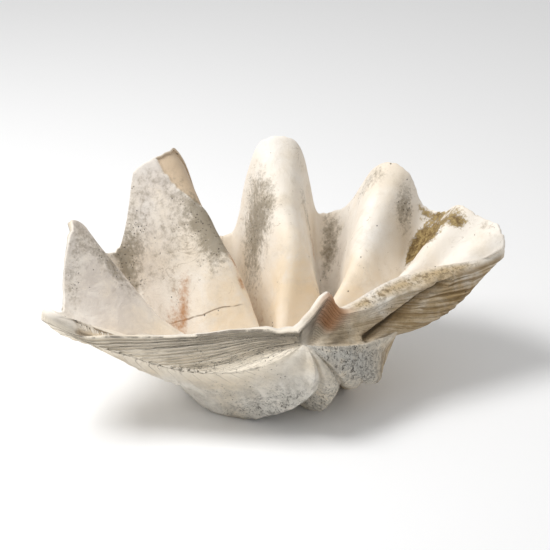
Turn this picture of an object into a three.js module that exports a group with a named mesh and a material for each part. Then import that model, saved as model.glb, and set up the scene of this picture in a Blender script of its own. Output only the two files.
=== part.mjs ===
// One valve of a giant clam, lying on its ribs with the hollow side up.
//
// Frame while building: the beak is the origin, +X runs along the hinge line,
// +Y points to the scalloped margin, +Z is up.  Lengths are millimetres.
// The valve is grown: every ray from the beak to the margin is a spiral that
// curls under as it nears the beak.  Two such sheets are made, one through the
// rib ends and one through the fold tips, and a wave swings between them.
// The finished valve is moved so its box stands on z = 0, centred on x and y.
import * as THREE from 'three';

// ---- the margin, measured from the beak -------------------------------------
// A station counts round the margin: -1 and 7 are the same hinge point, 0 is the
// left end, 6 the right end, whole numbers are fold tips, halves are rib ends.
const FIRST_STATION = -1;
const LAST_STATION = 7;
const HINGE_POINT = [0, 18, 8];
const LEFT_END = [-282, 100, 30];
const RIGHT_END = [297, 68, 47];
const LEFT_HINGE_EDGE = [
  [-0.75, [-62, 38, 12]],
  [-0.5, [-130, 58, 7]],
  [-0.25, [-215, 84, 8]],
  [-0.1, [-256, 92, 14]],
];
const RIGHT_HINGE_EDGE = [
  [6.25, [235, 58, 36]],
  [6.5, [160, 44, 27]],
  [6.75, [84, 30, 18]],
  [6.82, [62, 31, 20]],
  [6.88, [48, 38, 40]],
  [6.94, [24, 27, 24]],
];
const RIB_ENDS = [
  [0.5, [-264, 156, 12]],
  [1.5, [-164, 292, 24]],
  [2.5, [6, 334, 4]],
  [3.5, [153, 304, 30]],
  [4.5, [264, 198, 60]],
  [5.5, [308, 86, 71]],
];
const FOLD_TIPS = [
  [1, [-230, 214, 102]],
  [2, [-82, 302, 152]],
  [3, [80, 304, 152]],
  [4, [222, 228, 120]],
  [5, [286, 136, 80]],
];

// ---- how it grows --------------------------------------------------------------
const CURL = 1.5;
const CURL_POWER = 0.42;
// How much of the curl the ribs take near the margin and near the beak.
const RIB_CURL_STATIONS = [-1, 0, 0.5, 1.5, 2.5, 3.5, 4.5, 5.5, 6, 7];
const RIB_CURL_FAR = [1, 1, 1.1, 1.3, 0.97, 1.3, 1.2, 1.05, 1, 1];
const RIB_CURL_NEAR = [1, 1, 1.05, 1.15, 0.97, 0.96, 1, 1, 1, 1];
// How much of the curl the folds take at the tip and half way in.
const FOLD_CURL_STATIONS = [-1, 0, 1, 2, 3, 4, 5, 6, 7];
const FOLD_CURL_TIP = [1, 1, 0.9, 0.24, 0.26, 0.4, 0.6, 1, 1];
const FOLD_CURL_MID = [1, 1, 1.35, 0.5, 0.36, 0.55, 0.8, 1, 1];
// The beak is twisted along the hinge line by this much, most at this growth.
const BEAK_TWIST = 38;
const BEAK_TWIST_AT = 0.26;
// Outside, the grooves between ribs are shallow near the beak and deepen outward.
const GROOVE_AT_BEAK = 0.22;
const GROOVE_FROM = 0.4;
const GROOVE_FULL = 0.85;

// ---- the shape of each fold: half width, squareness and skirt, left and right ------
const FOLD_SHAPES = {
  1: { left: [0.42, 2.2, 0.25], right: [0.45, 2.5, 0.2] },
  2: { left: [0.66, 9, 0.2], right: [0.56, 3.4, 0.2] },
  3: { left: [0.57, 5, 0.2], right: [0.55, 4, 0.1] },
  4: { left: [0.47, 5, 0.28], right: [0.62, 2.4, 0.2] },
  5: { left: [0.45, 3, 0.3], right: [0.7, 2.5, 0.2] },
};
const PLAIN_FOLD = [0.6, 2.2, 0.25];
// How much further, or less far, the margin reaches at each station.
const REACH_STATIONS = [1, 1.06, 1.12, 1.7, 1.76, 1.84, 1.9, 1.97, 2.03, 2.1, 2.16, 5.5, 5.68, 5.84, 6];
const REACH_EXTRA = [0, 0.02, 0, 0, 0.03, 0.015, 0, -0.01, -0.005, 0.02, 0, 0, -0.015, -0.03, 0];

// ---- the outer skin swells here: station, growth and how far each reaches --------
const SWELLINGS = [
  { station: 6.0, width: 0.34, growth: 0.7, reach: 0.28, push: [5, -9, -24] },
  { station: 4.15, width: 0.3, growth: 0.28, reach: 0.12, push: [8, -4, -17] },
  { station: 0.2, width: 0.28, growth: 0.93, reach: 0.08, push: [-1, -3, -10] },
  { station: 1.22, width: 0.26, growth: 0.56, reach: 0.12, push: [-8, -13, -8] },
  { station: 2.45, width: 0.25, growth: 0.34, reach: 0.09, push: [0, -3, -8] },
];

// ---- wall ---------------------------------------------------------------------
const RIM_WALL = 6;
const WALL_GAIN = 4;
const HINGE_PLATE = 26;
const LEFT_LIP = 7;
const INNER_LAG = 0.12;
const RIM_ROUNDING = 1.2;
// Deepest point of the hollow.
const HOLLOW_FLOOR = [12, 124, -86];
const INNER_START_FOLDS = 0.62;
const INNER_START_HINGE = 0.86;
// No inner point comes nearer the outer skin than this.
const LEAST_WALL = 5;
const LEAST_FLOOR = 12;
const KEEP_PASSES = 8;
const PROBE_STATIONS = 320;
const PROBE_ROWS = 70;
const PROBE_FROM = 0.12;
// The ribs are worn flat where they stand.
const WORN_DEPTH = 6;

// ---- mesh fineness ----------------------------------------------------------------
const STEPS_PER_FOLD = 18;
const STEPS_PER_END = 24;
const OUTER_ROWS = 18;
const INNER_ROWS = 9;
const FLOOR_ROWS = 8;
const NORMAL_STEP = 0.012;
const NORMAL_REACH = 0.035;

const SHELL_COLOUR = 0xe9e2d3;

const add = (a, b, k = 1) => [a[0] + b[0] * k, a[1] + b[1] * k, a[2] + b[2] * k];
const mix = (a, b, k) => a.map((value, i) => value + (b[i] - value) * k);
const distance = (a, b) => Math.hypot(a[0] - b[0], a[1] - b[1], a[2] - b[2]);

function unit(a) {
  const length = Math.hypot(...a);
  return a.map((value) => value / length);
}

function cross(a, b) {
  return [a[1] * b[2] - a[2] * b[1], a[2] * b[0] - a[0] * b[2], a[0] * b[1] - a[1] * b[0]];
}

function ease(from, to, value) {
  const x = Math.min(1, Math.max(0, (value - from) / (to - from)));
  return x * x * (3 - 2 * x);
}

function bump(value, centre, width) {
  return Math.exp(-(((value - centre) / width) ** 2));
}

// Straight lines between the values, level beyond both ends.
function between(stations, values, station) {
  const last = stations.length - 1;
  if (station <= stations[0]) return values[0];
  if (station >= stations[last]) return values[last];
  let i = 0;
  while (stations[i + 1] < station) i += 1;
  const share = (station - stations[i]) / (stations[i + 1] - stations[i]);
  return values[i] + (values[i + 1] - values[i]) * share;
}

// A smooth curve through uneven stations.
function makeCurve(stations) {
  const at = stations.map((entry) => entry[0]);
  const points = stations.map((entry) => entry[1]);
  const last = at.length - 1;
  const slope = (i) => add(points[i + 1], points[i], -1).map((v) => v / (at[i + 1] - at[i]));
  const tangents = points.map((_, i) => {
    if (i === 0) return slope(0);
    if (i === last) return slope(last - 1);
    const before = at[i] - at[i - 1];
    const after = at[i + 1] - at[i];
    return mix(slope(i - 1), slope(i), before / (before + after));
  });
  return (station) => {
    let i = 0;
    while (i < last - 1 && at[i + 1] <= station) i += 1;
    const span = at[i + 1] - at[i];
    const x = (station - at[i]) / span;
    const a = 2 * x ** 3 - 3 * x ** 2 + 1;
    const b = (x ** 3 - 2 * x ** 2 + x) * span;
    const c = 3 * x ** 2 - 2 * x ** 3;
    const d = (x ** 3 - x ** 2) * span;
    return [0, 1, 2].map(
      (k) => a * points[i][k] + b * tangents[i][k] + c * points[i + 1][k] + d * tangents[i + 1][k],
    );
  };
}

function closeMargin(middle) {
  return makeCurve([
    [FIRST_STATION, HINGE_POINT],
    ...LEFT_HINGE_EDGE,
    [0, LEFT_END],
    ...middle,
    [6, RIGHT_END],
    ...RIGHT_HINGE_EDGE,
    [LAST_STATION, HINGE_POINT],
  ]);
}

const ribMargin = closeMargin(RIB_ENDS);
const foldMargin = closeMargin(FOLD_TIPS);

// Turn a margin point down about the hinge line and shrink it towards the beak.
function grownPoint(point, growth, angle) {
  const c = Math.cos(angle);
  const s = Math.sin(angle);
  const turned = [point[0], point[1] * c + point[2] * s, point[2] * c - point[1] * s];
  return turned.map((value) => value * growth);
}

function twist(station, growth) {
  const x = growth / BEAK_TWIST_AT;
  const reach = ease(-0.3, 0.8, station) * (1 - ease(5.3, 6.2, station));
  return BEAK_TWIST * x * Math.exp((1 - x * x) / 2) * reach;
}

// 1 on the back of a fold, 0 in the bottom of a rib.
function wave(station, growth) {
  if (station < 0.5 || station > 5.5) return 0;
  const fold = Math.min(5, Math.max(1, Math.round(station)));
  const x = Math.min(1, 2 * Math.abs(station - fold));
  const side = station < fold ? FOLD_SHAPES[fold].left : FOLD_SHAPES[fold].right;
  const [width, power, skirt] = mix(PLAIN_FOLD, side, ease(0.45, 1, growth));
  const back = Math.exp(-((x / width) ** power)) - Math.exp(-((1 / width) ** power)) * x * x;
  return (1 - skirt) * back + skirt * 0.5 * (1 + Math.cos(Math.PI * x));
}

function skin(station, growth, lag, groove) {
  const curl = (CURL / CURL_POWER) * (1 - growth ** CURL_POWER) * (1 - lag);
  const atTip = between(FOLD_CURL_STATIONS, FOLD_CURL_TIP, station);
  const halfway = between(FOLD_CURL_STATIONS, FOLD_CURL_MID, station);
  const share = halfway + (atTip - halfway) * ease(0.5, 1, growth);
  const foldCurl = curl * (1 - (1 - share) * ease(0.12, 0.5, growth));
  const near = between(RIB_CURL_STATIONS, RIB_CURL_NEAR, station);
  const far = between(RIB_CURL_STATIONS, RIB_CURL_FAR, station);
  const ribShare = near + (far - near) * ease(0.3, 0.65, growth);
  const rib = grownPoint(ribMargin(station), growth, curl * ribShare);
  const fold = grownPoint(foldMargin(station), growth, foldCurl);
  const point = mix(rib, fold, wave(station, growth) * groove);
  point[0] += twist(station, growth);
  const extra = between(REACH_STATIONS, REACH_EXTRA, station) * ease(0.8, 1, growth);
  return point.map((value) => value * (1 + extra));
}

function outerPoint(station, growth) {
  const depth = ease(GROOVE_FROM, GROOVE_FULL, growth);
  let point = skin(station, growth, 0, GROOVE_AT_BEAK + (1 - GROOVE_AT_BEAK) * depth);
  SWELLINGS.forEach((swelling) => {
    const along = bump(station, swelling.station, swelling.width);
    point = add(point, swelling.push, along * bump(growth, swelling.growth, swelling.reach));
  });
  return point;
}

const middlePoint = (station, growth) => skin(station, growth, INNER_LAG, 1);

function wrap(station) {
  const span = LAST_STATION - FIRST_STATION;
  return FIRST_STATION + ((station - FIRST_STATION + span) % span);
}

function inwardNormal(station, growth) {
  let sum = [0, 0, 0];
  for (let k = -2; k <= 2; k += 1) {
    const here = station + k * NORMAL_REACH;
    const along = add(
      middlePoint(wrap(here + NORMAL_STEP), growth),
      middlePoint(wrap(here - NORMAL_STEP), growth),
      -1,
    );
    const outward = add(middlePoint(wrap(here), growth), middlePoint(wrap(here), growth - NORMAL_STEP), -1);
    sum = add(sum, unit(cross(along, outward)));
  }
  return unit(sum);
}

function wallAt(station, growth) {
  const right = ease(6.1, 6.45, station) * (1 - 0.75 * ease(6.78, 6.88, station));
  const plate = (HINGE_PLATE - RIM_WALL) * (right + 0.5 * ease(-0.7, -1, station));
  return RIM_WALL + plate + LEFT_LIP * bump(station, 0, 0.28) + WALL_GAIN * ease(0, 0.5, 1 - growth);
}

function innerPoint(station, growth) {
  return add(middlePoint(station, growth), inwardNormal(station, growth), wallAt(station, growth));
}

// From the end of the grown inner wall down to the middle of the hollow.
function floorPoint(edge, direction, x) {
  const pull = distance(edge, HOLLOW_FLOOR);
  const level = [HOLLOW_FLOOR[0] - edge[0], HOLLOW_FLOOR[1] - edge[1], 0];
  const a = 2 * x ** 3 - 3 * x ** 2 + 1;
  const b = (x ** 3 - 2 * x ** 2 + x) * 0.8 * pull;
  const c = 3 * x ** 2 - 2 * x ** 3;
  const d = (x ** 3 - x ** 2) * 0.9;
  return [0, 1, 2].map((k) => a * edge[k] + b * direction[k] + c * HOLLOW_FLOOR[k] + d * level[k]);
}

// Points on the outer skin, each with the direction that leads into the hollow.
function outerProbes() {
  const probes = [];
  for (let j = 0; j < PROBE_ROWS; j += 1) {
    const growth = PROBE_FROM + ((1 - PROBE_FROM) * (j + 1)) / PROBE_ROWS;
    for (let i = 0; i < PROBE_STATIONS; i += 1) {
      const station = FIRST_STATION + ((LAST_STATION - FIRST_STATION) * (i + 0.5)) / PROBE_STATIONS;
      const point = outerPoint(station, growth);
      const ahead = outerPoint(wrap(station + NORMAL_STEP), growth);
      const inner = outerPoint(station, growth - NORMAL_STEP);
      probes.push({ point, inward: unit(cross(add(ahead, point, -1), add(point, inner, -1))) });
    }
  }
  return probes;
}

// Push one inner point away from the outer skin until the wall is thick enough.
function keepWall(start, wall, probes) {
  let point = start;
  for (let pass = 0; pass < KEEP_PASSES; pass += 1) {
    let best = Infinity;
    let nearest = probes[0];
    for (const probe of probes) {
      const dx = probe.point[0] - point[0];
      const dy = probe.point[1] - point[1];
      const dz = probe.point[2] - point[2];
      const far = dx * dx + dy * dy + dz * dz;
      if (far < best) {
        best = far;
        nearest = probe;
      }
    }
    const away = add(point, nearest.point, -1);
    const side = away.reduce((sum, value, k) => sum + value * nearest.inward[k], 0);
    if (side >= wall) return point;
    point = add(point, nearest.inward, wall - side);
  }
  return point;
}

function stationList() {
  const list = [];
  const spread = (from, to, steps) => {
    for (let i = 0; i < steps; i += 1) list.push(from + ((to - from) * i) / steps);
  };
  spread(FIRST_STATION, 0.5, STEPS_PER_END);
  for (let fold = 1; fold <= 5; fold += 1) spread(fold - 0.5, fold + 0.5, STEPS_PER_FOLD);
  spread(5.5, LAST_STATION, STEPS_PER_END);
  return list;
}

function valveRows(stations) {
  const rows = [];
  for (let j = 1; j <= OUTER_ROWS; j += 1) {
    const growth = (j / OUTER_ROWS) ** 0.8;
    rows.push(stations.map((s) => outerPoint(s, growth)));
  }
  const probes = outerProbes();
  const outerRim = rows[rows.length - 1];
  const innerRim = stations.map((s) => keepWall(innerPoint(s, 1), LEAST_WALL - 1, probes));
  const crown = stations.map((s, i) => {
    const outward = unit(add(outerPoint(s, 1), outerPoint(s, 1 - NORMAL_STEP), -1));
    return add(mix(outerRim[i], innerRim[i], 0.5), outward, RIM_ROUNDING);
  });
  rows.push(crown, innerRim);
  const start = stations.map((s) => {
    const folded = ease(0.3, 1.7, s) * (1 - ease(4.2, 5.6, s));
    return INNER_START_HINGE + (INNER_START_FOLDS - INNER_START_HINGE) * folded;
  });
  for (let j = 1; j <= INNER_ROWS; j += 1) {
    const wall = LEAST_WALL - 1 + ((LEAST_FLOOR - LEAST_WALL) * j) / INNER_ROWS / 2;
    rows.push(stations.map((s, i) => {
      const growth = 1 - ((1 - start[i]) * j) / INNER_ROWS;
      return keepWall(innerPoint(s, growth), wall, probes);
    }));
  }
  const edge = rows[rows.length - 1];
  const direction = stations.map((s, i) => unit(add(edge[i], innerPoint(s, start[i] + NORMAL_STEP), -1)));
  for (let j = 1; j < FLOOR_ROWS; j += 1) {
    const wall = LEAST_WALL + ((LEAST_FLOOR - LEAST_WALL) * (FLOOR_ROWS + j)) / FLOOR_ROWS / 2;
    rows.push(edge.map((point, i) => {
      const start = floorPoint(point, direction[i], j / FLOOR_ROWS);
      return keepWall(start, wall, probes);
    }));
  }
  return rows;
}

// Stand the valve on worn rib bottoms and centre its box.
function settle(points) {
  const lowest = Math.min(...points.map((p) => p[2])) + WORN_DEPTH;
  points.forEach((p) => { p[2] = Math.max(p[2], lowest); });
  const box = new THREE.Box3().setFromPoints(points.map((p) => new THREE.Vector3(...p)));
  const middle = box.getCenter(new THREE.Vector3());
  points.forEach((p) => {
    p[0] -= middle.x;
    p[1] -= middle.y;
    p[2] -= box.min.z;
  });
}

function valveGeometry() {
  const stations = stationList();
  const rows = valveRows(stations);
  const count = stations.length;
  const points = [[0, 0, 0], ...rows.flat(), [...HOLLOW_FLOOR]];
  const last = points.length - 1;
  const at = (row, column) => 1 + row * count + (column % count);
  const faces = [];
  for (let c = 0; c < count; c += 1) {
    faces.push(0, at(0, c), at(0, c + 1));
    for (let r = 0; r < rows.length - 1; r += 1) {
      faces.push(at(r, c), at(r + 1, c), at(r + 1, c + 1));
      faces.push(at(r, c), at(r + 1, c + 1), at(r, c + 1));
    }
    faces.push(last, at(rows.length - 1, c + 1), at(rows.length - 1, c));
  }
  settle(points);
  const geometry = new THREE.BufferGeometry();
  geometry.setAttribute('position', new THREE.Float32BufferAttribute(points.flat(), 3));
  geometry.setIndex(faces);
  geometry.computeVertexNormals();
  return geometry;
}

const material = new THREE.MeshStandardMaterial({ color: SHELL_COLOUR, roughness: 0.7, metalness: 0 });
material.name = 'shell';
const valve = new THREE.Mesh(valveGeometry(), material);
valve.name = 'clam_valve';

const part = new THREE.Group();
part.name = 'giant_clam_valve';
part.add(valve);

export default part;
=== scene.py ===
"""One valve of a giant clam, resting on its ribs with the hollow side up.

The shell is one closed mesh.  Every ray from the beak to the margin is a spiral that curls
under as it nears the beak.  Lengths are millimetres while the shell is made, metres after.
A station counts round the margin: -1 and 7 are the same hinge point, 0 is the left end,
6 the right end, whole numbers are fold tips and halves are rib ends.  Growth is 0 at the
beak and 1 at the margin.
"""
import itertools
import math
from dataclasses import dataclass
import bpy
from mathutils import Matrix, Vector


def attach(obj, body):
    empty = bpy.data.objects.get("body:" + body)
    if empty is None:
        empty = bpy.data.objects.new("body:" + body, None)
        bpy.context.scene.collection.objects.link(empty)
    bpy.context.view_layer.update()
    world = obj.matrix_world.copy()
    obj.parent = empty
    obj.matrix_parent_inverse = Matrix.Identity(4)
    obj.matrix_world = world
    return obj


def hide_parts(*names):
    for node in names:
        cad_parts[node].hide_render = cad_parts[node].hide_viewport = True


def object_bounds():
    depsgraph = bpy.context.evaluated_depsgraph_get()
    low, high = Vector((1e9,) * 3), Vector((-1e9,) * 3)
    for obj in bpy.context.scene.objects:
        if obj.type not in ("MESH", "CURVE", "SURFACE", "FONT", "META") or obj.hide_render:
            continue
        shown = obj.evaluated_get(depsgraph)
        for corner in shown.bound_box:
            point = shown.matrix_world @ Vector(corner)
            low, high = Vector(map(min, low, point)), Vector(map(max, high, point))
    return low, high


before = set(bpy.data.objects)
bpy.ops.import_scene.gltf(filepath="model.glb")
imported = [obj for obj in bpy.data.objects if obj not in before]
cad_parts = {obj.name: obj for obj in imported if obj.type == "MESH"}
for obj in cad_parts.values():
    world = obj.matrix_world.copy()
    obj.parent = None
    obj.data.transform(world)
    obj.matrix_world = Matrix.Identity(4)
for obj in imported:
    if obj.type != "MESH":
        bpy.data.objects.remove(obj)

from types import SimpleNamespace

import bpy
import numpy as np
from mathutils import Matrix, Vector, kdtree

FIRST_STATION = -1
LAST_STATION = 7
HINGE_POINT = (0, 18, 8)
LEFT_END = (-282, 100, 30)
RIGHT_END = (297, 68, 47)
LEFT_HINGE_EDGE = [
    (-0.75, (-62, 38, 12)),
    (-0.5, (-130, 58, 7)),
    (-0.25, (-215, 84, 8)),
    (-0.1, (-256, 92, 14)),
]
RIGHT_HINGE_EDGE = [
    (6.25, (235, 58, 36)),
    (6.5, (160, 44, 27)),
    (6.75, (84, 30, 18)),
    (6.82, (62, 31, 20)),
    (6.88, (48, 38, 40)),
    (6.94, (24, 27, 24)),
]
RIB_ENDS = [
    (0.5, (-264, 156, 12)),
    (1.5, (-164, 292, 24)),
    (2.5, (6, 334, 4)),
    (3.5, (153, 304, 30)),
    (4.5, (264, 198, 60)),
    (5.5, (308, 86, 71)),
]
FOLD_TIPS = [
    (1, (-230, 214, 102)),
    (2, (-82, 302, 152)),
    (3, (80, 304, 152)),
    (4, (222, 228, 120)),
    (5, (286, 136, 80)),
]
# How far the rays curl under, in radians, and a share of that for ribs and for folds.
CURL = 1.5
CURL_POWER = 0.42
RIB_CURL_STATIONS = (-1, 0, 0.5, 1.5, 2.5, 3.5, 4.5, 5.5, 6, 7)
RIB_CURL_FAR = (1, 1, 1.1, 1.3, 0.97, 1.3, 1.2, 1.05, 1, 1)
RIB_CURL_NEAR = (1, 1, 1.05, 1.15, 0.97, 0.96, 1, 1, 1, 1)
FOLD_CURL_STATIONS = (-1, 0, 1, 2, 3, 4, 5, 6, 7)
FOLD_CURL_TIP = (1, 1, 0.9, 0.24, 0.26, 0.4, 0.6, 1, 1)
FOLD_CURL_MID = (1, 1, 1.35, 0.5, 0.36, 0.55, 0.8, 1, 1)
# The small ribs by the beak lean this far along x, most of all at this growth.
BEAK_TWIST = 38
BEAK_TWIST_AT = 0.26
# Outside, the folds are shallow by the beak and reach their full depth between two growths.
FOLD_DEPTH_AT_BEAK = 0.22
FOLD_DEPTH_FROM = 0.4
FOLD_DEPTH_FULL = 0.85
# Fold: (half width, squareness, skirt) on its left, then on its right.
FOLD_SHAPES = {
    1: ((0.42, 2.2, 0.25), (0.45, 2.5, 0.2)),
    2: ((0.66, 9, 0.2), (0.56, 3.4, 0.2)),
    3: ((0.57, 5, 0.2), (0.55, 4, 0.1)),
    4: ((0.47, 5, 0.28), (0.62, 2.4, 0.2)),
    5: ((0.45, 3, 0.3), (0.7, 2.5, 0.2)),
}
PLAIN_FOLD = (0.6, 2.2, 0.25)
# Station, then how much further (or less far) the margin reaches there.
REACHES = (
    (0.97, 0),
    (1.04, 0.025),
    (1.14, 0),
    (1.7, 0),
    (1.76, 0.03),
    (1.84, 0.015),
    (1.9, 0),
    (1.97, -0.01),
    (2.03, -0.005),
    (2.1, 0.02),
    (2.16, 0),
    (5.5, 0),
    (5.68, -0.015),
    (5.84, -0.03),
    (6, 0),
)
# The outer skin swells here: station and reach, growth and reach, and how far, in x, y and z.
SWELLINGS = (
    (6.0, 0.34, 0.7, 0.28, (5, -9, -24)),
    (4.15, 0.3, 0.28, 0.12, (8, -4, -17)),
    (0.2, 0.28, 0.93, 0.08, (-1, -3, -10)),
    (1.22, 0.26, 0.56, 0.12, (-8, -13, -8)),
    (2.45, 0.25, 0.34, 0.09, (0, -3, -8)),
)
# The wall at the rim, what it gains further in, and where it is thicker.
RIM_WALL = 6
WALL_GAIN = 4
HINGE_PLATE = 26
LEFT_LIP = 7
# The inner wall curls a little less, and gives way to the hollow's floor at these growths.
INNER_LAG = 0.12
INNER_START_FOLDS = 0.62
INNER_START_HINGE = 0.86
HOLLOW_FLOOR = (12, 124, -86)
FLOOR_PULL = 0.8
FLOOR_LEVEL = 0.9
# No wall is thinner than this, the floor than that, and the rim may be a little thinner.
LEAST_WALL = 5
LEAST_FLOOR = 12
RIM_ALLOWANCE = 1
# The ribs are worn flat where they stand.
WORN_DEPTH = 6
# The margin is rounded over by a share of its width, up to a height.
CROWN_SHARE = 0.3
CROWN_HEIGHT = 3.5
CROWN_ROUND = 0.7

# Height, cell, seed and layers of the noises that make the surface uneven.
OUTER_LUMPS = ((2.2, 70, 1, 3), (1.1, 16, 5, 3), (0.5, 6, 8, 2))
INNER_WAVES = ((1.3, 80, 9, 3), (0.35, 18, 12, 3))
# How high the growth steps stand: everywhere, where worn, and on the ledges by the hinge.
STEP_HEIGHT = 0.4
WORN_STEP_HEIGHT = 1.6
LEDGE_STEP_HEIGHT = 2.4
INNER_RING_HEIGHT = 0.35
BROKEN_DEPTH = 3.5
# Small ribs by the beak are split by clefts along these folds, and one hollow is filled.
CLEFT_FOLDS = (2, 3)
CLEFT_WIDTH = 0.09
CLEFT_DEPTH = 4.5
FILLED_STATION = (3.98, 0.22)
FILLED_GROWTH = (0.24, 0.13)
FILLED_HEIGHT = 6
# Chips in the margin: depth, cell and seed of each kind.
CHIPS = (4, 16, 31)
NIBBLES = (1.2, 5, 33)
MARGIN_WANDER = (1.5, 40, 35)
# The ligament groove, and the low ridges that run beside it.
GROOVE_DEPTH = 12
GROOVE_WIDTH = 3.8
RIDGE_HEIGHT = 2.5
RIDGE_AT = 9
RIDGE_WIDTH = 5

STEPS_PER_FOLD = 66
STEPS_PER_END = 75
LAMELLAE = 25
ROWS_IN_LAMELLA = (0.05, 0.38, 0.7, 0.95)
CROWN_ROWS = 8
INNER_ROWS = 60
FLOOR_ROWS = 24
LAMELLA_SPREAD = 0.85
LAMELLA_WANDER = 0.012
PROBE_STATIONS = 400
PROBE_ROWS = 90
PROBE_START = 0.12
NORMAL_STEP = 0.012
NORMAL_REACH = 0.035
RING_RADIUS = 200
RING_RISE = 300
SEED = 11

# Metres, degrees and watts, and millimetres for the camera's sensor and lens.
BUMP_DISTANCE = 0.0016
CAMERA_TURN = 20
CAMERA_TILT = 25
CAMERA_FROM_BEAK = (-0.62419, -1.61517, 0.90142)
SENSOR_WIDTH = 36
LENS = SENSOR_WIDTH * 32 / 11
FLOOR_HALF_SIDE = 8
FLOOR_COLOUR = (0.95, 0.95, 0.95)
WORLD_STRENGTH = 0.53
KEY_PLACE = (-1.1, 0.3, 2.1)
KEY_TARGET = (0, 0, 0.1)
KEY_SIZE = 1.0
KEY_ENERGY = 41


def ease(start, end, value):
    x = np.clip((value - start) / (end - start), 0, 1)
    return x * x * (3 - 2 * x)


def bump(value, centre, width):
    return np.exp(-(((value - centre) / width) ** 2))


def unit(vectors):
    return vectors / (np.linalg.norm(vectors, axis=-1, keepdims=True) + 1e-9)


def make_curve(table):
    """A smooth curve through uneven stations."""
    at = np.array([row[0] for row in table], float)
    points = np.array([row[1] for row in table], float)
    gaps = np.diff(at)
    slopes = np.diff(points, axis=0) / gaps[:, None]
    share = (gaps[:-1] / (gaps[:-1] + gaps[1:]))[:, None]
    inner = slopes[:-1] + (slopes[1:] - slopes[:-1]) * share
    tangents = np.concatenate([slopes[:1], inner, slopes[-1:]])

    def curve(station):
        i = np.clip(np.searchsorted(at, station, side="right") - 1, 0, len(gaps) - 1)
        span = gaps[i][..., None]
        x = (station - at[i])[..., None] / span
        a = 2 * x**3 - 3 * x**2 + 1
        b = (x**3 - 2 * x**2 + x) * span
        c = 3 * x**2 - 2 * x**3
        d = (x**3 - x**2) * span
        return a * points[i] + b * tangents[i] + c * points[i + 1] + d * tangents[i + 1]

    return curve


def close_margin(middle):
    return make_curve(
        [(FIRST_STATION, HINGE_POINT)]
        + LEFT_HINGE_EDGE
        + [(0, LEFT_END)]
        + middle
        + [(6, RIGHT_END)]
        + RIGHT_HINGE_EDGE
        + [(LAST_STATION, HINGE_POINT)]
    )


rib_margin = close_margin(RIB_ENDS)
fold_margin = close_margin(FOLD_TIPS)


def grown(points, growth, angle):
    """Margin points turned down about the hinge line and shrunk towards the beak."""
    c, s = np.cos(angle), np.sin(angle)
    x, y, z = points[..., 0], points[..., 1], points[..., 2]
    return growth[..., None] * np.stack([x, y * c + z * s, z * c - y * s], -1)


def wave(station, growth):
    """1 on the back of a fold, 0 in the bottom of a rib."""
    fold = np.clip(np.round(station), 1, 5).astype(int)
    x = np.clip(2 * np.abs(station - fold), 0, 1)
    shapes = np.array([FOLD_SHAPES[k] for k in range(1, 6)], float)
    side = shapes[fold - 1, (station >= fold).astype(int)]
    amount = ease(0.45, 1, growth)[..., None]
    plain = np.array(PLAIN_FOLD)
    width, power, skirt = np.moveaxis(plain + (side - plain) * amount, -1, 0)
    back = np.exp(-((x / width) ** power)) - np.exp(-((1 / width) ** power)) * x * x
    shape = (1 - skirt) * back + skirt * 0.5 * (1 + np.cos(np.pi * x))
    return np.where((station < 0.5) | (station > 5.5), 0, shape)


def skin(station, growth, lag, fold_depth):
    """A sheet that swings between the ribs and the folds; lag is how much less it curls."""
    growth = np.maximum(growth, 1e-4)
    curl = CURL / CURL_POWER * (1 - growth**CURL_POWER) * (1 - lag)
    at_tip = np.interp(station, FOLD_CURL_STATIONS, FOLD_CURL_TIP)
    halfway = np.interp(station, FOLD_CURL_STATIONS, FOLD_CURL_MID)
    share = halfway + (at_tip - halfway) * ease(0.5, 1, growth)
    fold_curl = curl * (1 - (1 - share) * ease(0.12, 0.5, growth))
    near = np.interp(station, RIB_CURL_STATIONS, RIB_CURL_NEAR)
    far = np.interp(station, RIB_CURL_STATIONS, RIB_CURL_FAR)
    rib_curl = curl * (near + (far - near) * ease(0.3, 0.65, growth))
    rib = grown(rib_margin(station), growth, rib_curl)
    fold = grown(fold_margin(station), growth, fold_curl)
    swing = (wave(station, growth) * fold_depth)[..., None]
    points = rib + (fold - rib) * swing
    x = growth / BEAK_TWIST_AT
    reach = ease(-0.3, 0.8, station) * (1 - ease(5.3, 6.2, station))
    points[..., 0] += BEAK_TWIST * x * np.exp((1 - x * x) / 2) * reach
    extra = np.interp(station, *zip(*REACHES)) * ease(0.8, 1, growth)
    return points * (1 + extra)[..., None]


def outer_points(station, growth):
    deep = ease(FOLD_DEPTH_FROM, FOLD_DEPTH_FULL, growth)
    points = skin(station, growth, 0, FOLD_DEPTH_AT_BEAK + (1 - FOLD_DEPTH_AT_BEAK) * deep)
    for at, width, grown_at, reach, push in SWELLINGS:
        weight = bump(station, at, width) * bump(growth, grown_at, reach)
        points = points + weight[..., None] * np.array(push, float)
    return points


def middle_points(station, growth):
    return skin(station, growth, INNER_LAG, 1)


def wrap(station):
    return FIRST_STATION + np.mod(station - FIRST_STATION, LAST_STATION - FIRST_STATION)


def inward_normals(station, growth):
    total = 0
    for k in range(-2, 3):
        here = station + k * NORMAL_REACH
        along = middle_points(wrap(here + NORMAL_STEP), growth)
        along = along - middle_points(wrap(here - NORMAL_STEP), growth)
        outward = middle_points(wrap(here), growth)
        outward = outward - middle_points(wrap(here), growth - NORMAL_STEP)
        total = total + unit(np.cross(along, outward))
    return unit(total)


def wall_at(station, growth):
    plate = ease(6.1, 6.45, station) * (1 - 0.75 * ease(6.78, 6.88, station))
    plate = plate + 0.5 * ease(-0.7, -1, station)
    lip = LEFT_LIP * bump(station, 0.0, 0.28)
    return RIM_WALL + (HINGE_PLATE - RIM_WALL) * plate + lip + WALL_GAIN * ease(0, 0.5, 1 - growth)


def inner_points(station, growth):
    wall = wall_at(station, growth)[..., None]
    return middle_points(station, growth) + inward_normals(station, growth) * wall


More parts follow.
